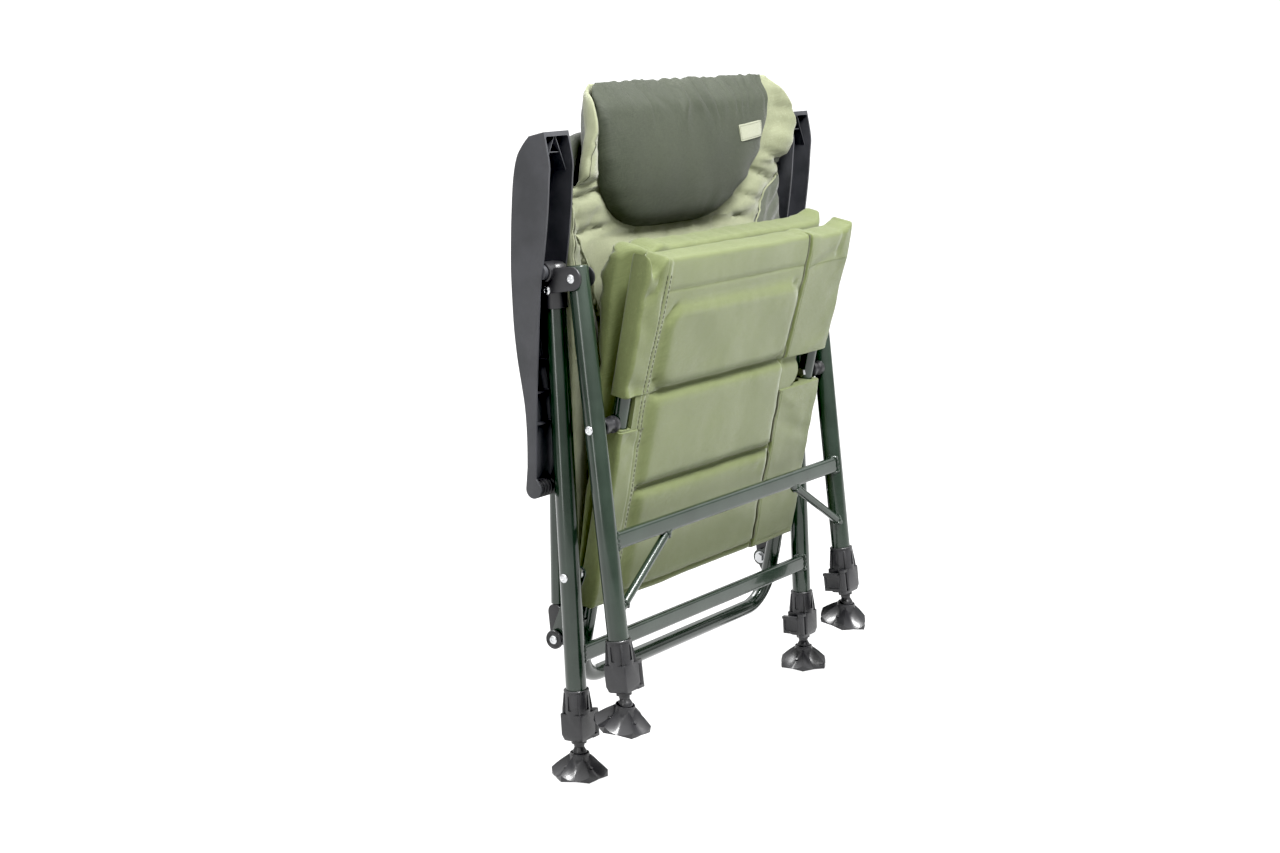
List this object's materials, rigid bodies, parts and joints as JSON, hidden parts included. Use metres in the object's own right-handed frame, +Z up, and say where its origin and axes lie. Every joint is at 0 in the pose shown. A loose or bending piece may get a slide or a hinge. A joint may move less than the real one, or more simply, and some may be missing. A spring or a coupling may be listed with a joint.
{
  "type": "folding fishing chair",
  "caption": "Folding fishing chair stored upright: U-tube seat and back with padded fabric, telescopic clamped legs on swivel mud feet, channel armrests and fold links.",
  "frame": {"origin": "on the floor under the middle of the bounding box of the folded chair", "axes": "+Z up, the front of the chair (seat underside when folded) towards -Y, the sitter's left towards +X"},
  "size_m": [0.677, 0.183, 0.9131],
  "materials": {
    "green_paint": "gloss",
    "black_plastic": "satin",
    "grey_plastic": "satin",
    "steel": "satin",
    "rubber": "matt",
    "sage_fabric": "woven",
    "dark_fabric": "woven",
    "label_fabric": "woven"
  },
  "bodies": {
    "rear_legs": {"rear_leg_right": "green_paint", "rear_leg_left": "green_paint", "rear_crossbar": "green_paint", "head_bracket_right": "black_plastic", "head_bracket_left": "black_plastic", "bracket_rivet_right": "steel", "bracket_rivet_left": "steel", "front_leg_rivet_right": "steel", "front_leg_rivet_left": "steel", "link_rivet_right": "steel", "link_rivet_left": "steel", "leg_clamp_rear_right": "black_plastic", "leg_clamp_rear_left": "black_plastic"},
    "front_legs": {"front_leg_right": "green_paint", "front_leg_left": "green_paint", "front_crossbar": "green_paint", "seat_pivot_bolt_right": "steel", "seat_pivot_bolt_left": "steel", "leg_clamp_front_right": "black_plastic", "leg_clamp_front_left": "black_plastic"},
    "seat": {"seat_frame": "green_paint", "seat_front_bow": "green_paint", "seat_cover": "sage_fabric", "seat_cushion": "sage_fabric"},
    "backrest": {"back_frame": "green_paint", "back_knuckle_right": "black_plastic", "back_knuckle_left": "black_plastic", "hinge_bolt_right": "steel", "hinge_bolt_left": "steel", "back_panel": "sage_fabric", "back_pad": "sage_fabric", "headrest": "dark_fabric", "label_tag": "label_fabric"},
    "fold_link_right": {"fold_link_right": "green_paint", "hinge_knob_right": "black_plastic"},
    "fold_link_left": {"fold_link_left": "green_paint", "hinge_knob_left": "black_plastic"},
    "armrest_right": {"armrest_right": "grey_plastic", "ratchet_barrel_right": "black_plastic"},
    "armrest_left": {"armrest_left": "grey_plastic", "ratchet_barrel_left": "black_plastic"},
    "lower_leg_rear_right": {"inner_leg_rear_right": "green_paint", "ball_stem_rear_right": "black_plastic"},
    "foot_rear_right": {"mud_foot_rear_right": "rubber"},
    "lever_rear_right": {"clamp_lever_rear_right": "black_plastic"},
    "lower_leg_rear_left": {"inner_leg_rear_left": "green_paint", "ball_stem_rear_left": "black_plastic"},
    "foot_rear_left": {"mud_foot_rear_left": "rubber"},
    "lever_rear_left": {"clamp_lever_rear_left": "black_plastic"},
    "lower_leg_front_right": {"inner_leg_front_right": "green_paint", "ball_stem_front_right": "black_plastic"},
    "foot_front_right": {"mud_foot_front_right": "rubber"},
    "lever_front_right": {"clamp_lever_front_right": "black_plastic"},
    "lower_leg_front_left": {"inner_leg_front_left": "green_paint", "ball_stem_front_left": "black_plastic"},
    "foot_front_left": {"mud_foot_front_left": "rubber"},
    "lever_front_left": {"clamp_lever_front_left": "black_plastic"}
  },
  "joints": [
    {"name": "front_leg_fold", "type": "hinge", "parent": "rear_legs", "child": "front_legs", "pos_m": [0, 0.00846, 0.66939], "axis": [1, 0, 0], "range_deg": [-60, 0]},
    {"name": "seat_fold", "type": "hinge", "parent": "front_legs", "child": "seat", "pos_m": [0, -0.01649, 0.47458], "axis": [1, 0, 0], "range_deg": [0, 91]},
    {"name": "backrest_fold", "type": "hinge", "parent": "seat", "child": "backrest", "pos_m": [0, 0.06394, 0.17498], "axis": [1, 0, 0], "range_deg": [-97, 0]},
    {"name": "link_fold_right", "type": "hinge", "parent": "rear_legs", "child": "fold_link_right", "pos_m": [-0.2787, 0.02477, 0.27241], "axis": [1, 0, 0], "range_deg": [0, 146]},
    {"name": "link_fold_left", "type": "hinge", "parent": "rear_legs", "child": "fold_link_left", "pos_m": [0.2787, 0.02477, 0.27241], "axis": [1, 0, 0], "range_deg": [0, 146]},
    {"name": "armrest_fold_right", "type": "hinge", "parent": "rear_legs", "child": "armrest_right", "pos_m": [-0.307, 0.04783, 0.67595], "axis": [1, 0, 0], "range_deg": [0, 41]},
    {"name": "armrest_fold_left", "type": "hinge", "parent": "rear_legs", "child": "armrest_left", "pos_m": [0.307, 0.04783, 0.67595], "axis": [1, 0, 0], "range_deg": [0, 41]},
    {"name": "leg_slide_rear_right", "type": "slide", "parent": "rear_legs", "child": "lower_leg_rear_right", "axis": [0, -0.057, -0.9984], "range_m": [0, 0.12]},
    {"name": "foot_tilt_rear_right", "type": "hinge", "parent": "lower_leg_rear_right", "child": "foot_rear_right", "pos_m": [-0.3, 0.01098, 0.031], "axis": [1, 0, 0], "range_deg": [-40, 20]},
    {"name": "lever_turn_rear_right", "type": "hinge", "parent": "rear_legs", "child": "lever_rear_right", "pos_m": [-0.2764, 0.00217, 0.06957], "axis": [0, -0.057, -0.9984], "range_deg": [0, 110]},
    {"name": "leg_slide_rear_left", "type": "slide", "parent": "rear_legs", "child": "lower_leg_rear_left", "axis": [0, -0.057, -0.9984], "range_m": [0, 0.12]},
    {"name": "foot_tilt_rear_left", "type": "hinge", "parent": "lower_leg_rear_left", "child": "foot_rear_left", "pos_m": [0.3, 0.01098, 0.031], "axis": [1, 0, 0], "range_deg": [-40, 20]},
    {"name": "lever_turn_rear_left", "type": "hinge", "parent": "rear_legs", "child": "lever_rear_left", "pos_m": [0.2764, 0.00217, 0.06957], "axis": [0, 0.057, 0.9984], "range_deg": [0, 110]},
    {"name": "leg_slide_front_right", "type": "slide", "parent": "front_legs", "child": "lower_leg_front_right", "axis": [0, -0.1271, -0.9919], "range_m": [0, 0.12]},
    {"name": "foot_tilt_front_right", "type": "hinge", "parent": "lower_leg_front_right", "child": "foot_front_right", "pos_m": [-0.3, -0.06308, 0.11095], "axis": [1, 0, 0], "range_deg": [-46, 12]},
    {"name": "lever_turn_front_right", "type": "hinge", "parent": "front_legs", "child": "lever_front_right", "pos_m": [-0.2764, -0.06916, 0.15004], "axis": [0, -0.1271, -0.9919], "range_deg": [0, 110]},
    {"name": "leg_slide_front_left", "type": "slide", "parent": "front_legs", "child": "lower_leg_front_left", "axis": [0, -0.1271, -0.9919], "range_m": [0, 0.12]},
    {"name": "foot_tilt_front_left", "type": "hinge", "parent": "lower_leg_front_left", "child": "foot_front_left", "pos_m": [0.3, -0.06308, 0.11095], "axis": [1, 0, 0], "range_deg": [-46, 12]},
    {"name": "lever_turn_front_left", "type": "hinge", "parent": "front_legs", "child": "lever_front_left", "pos_m": [0.2764, -0.06916, 0.15004], "axis": [0, 0.1271, 0.9919], "range_deg": [0, 110]}
  ],
  "couplings": [
    {"joint": "seat_fold", "follows": "front_leg_fold", "ratio": -1.5026},
    {"joint": "backrest_fold", "follows": "front_leg_fold", "ratio": 1.6038},
    {"joint": "link_fold_right", "follows": "front_leg_fold", "ratio": -2.4283},
    {"joint": "link_fold_left", "follows": "front_leg_fold", "ratio": -2.4283},
    {"joint": "armrest_fold_right", "follows": "front_leg_fold", "ratio": -0.68214},
    {"joint": "armrest_fold_left", "follows": "front_leg_fold", "ratio": -0.68214}
  ]
}
